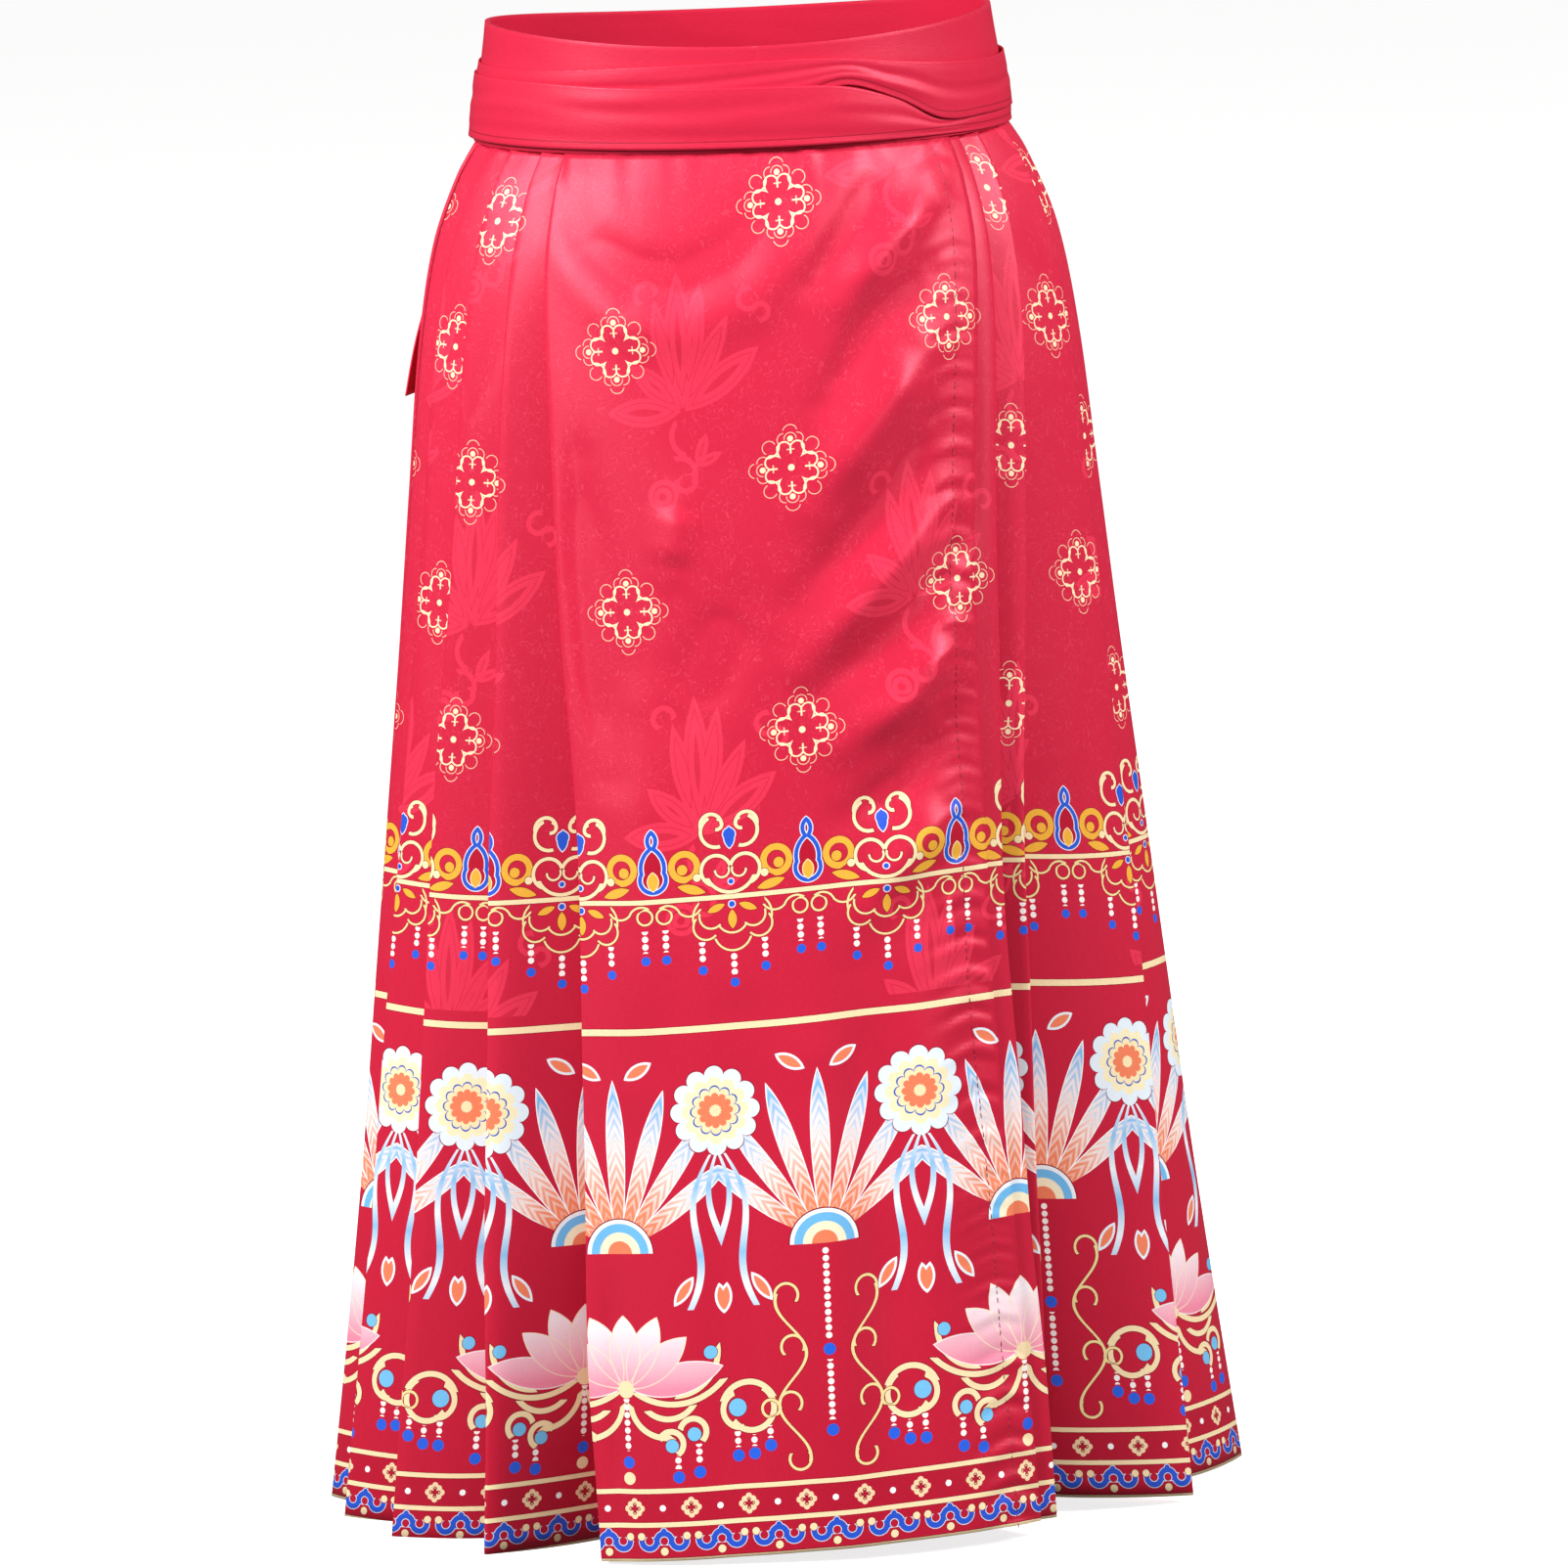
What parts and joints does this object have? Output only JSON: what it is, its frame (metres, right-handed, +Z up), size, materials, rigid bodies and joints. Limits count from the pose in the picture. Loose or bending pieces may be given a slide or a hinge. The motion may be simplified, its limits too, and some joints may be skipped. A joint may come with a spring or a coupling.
{
  "type": "horse-face skirt",
  "caption": "Pleated wrap skirt of printed satin, in worn form, with overlapping flat panels front and back, a stiff waistband and two ties; it wraps the waist and covers the legs.",
  "frame": {"origin": "middle of the waist opening, 34 mm above the lower edge of the waistband", "axes": "+Z up along the wearer, -Y out of the front panel, +X to the right as seen from the front"},
  "size_m": [0.4556, 0.3883, 0.734],
  "materials": {
    "printed_satin": "satin",
    "plain_satin": "satin"
  },
  "bodies": {
    "root": {"front_panel": "printed_satin", "left_front_pleats": "printed_satin", "left_back_pleats": "printed_satin", "back_under_panel": "printed_satin", "front_under_panel": "printed_satin", "right_front_pleats": "printed_satin", "right_back_pleats": "printed_satin", "back_panel": "printed_satin", "waistband": "plain_satin", "tie_lower": "plain_satin", "tie_upper": "plain_satin", "tie_knot": "plain_satin", "tie_tail_front": "plain_satin", "tie_tail_back": "plain_satin"}
  },
  "joints": []
}
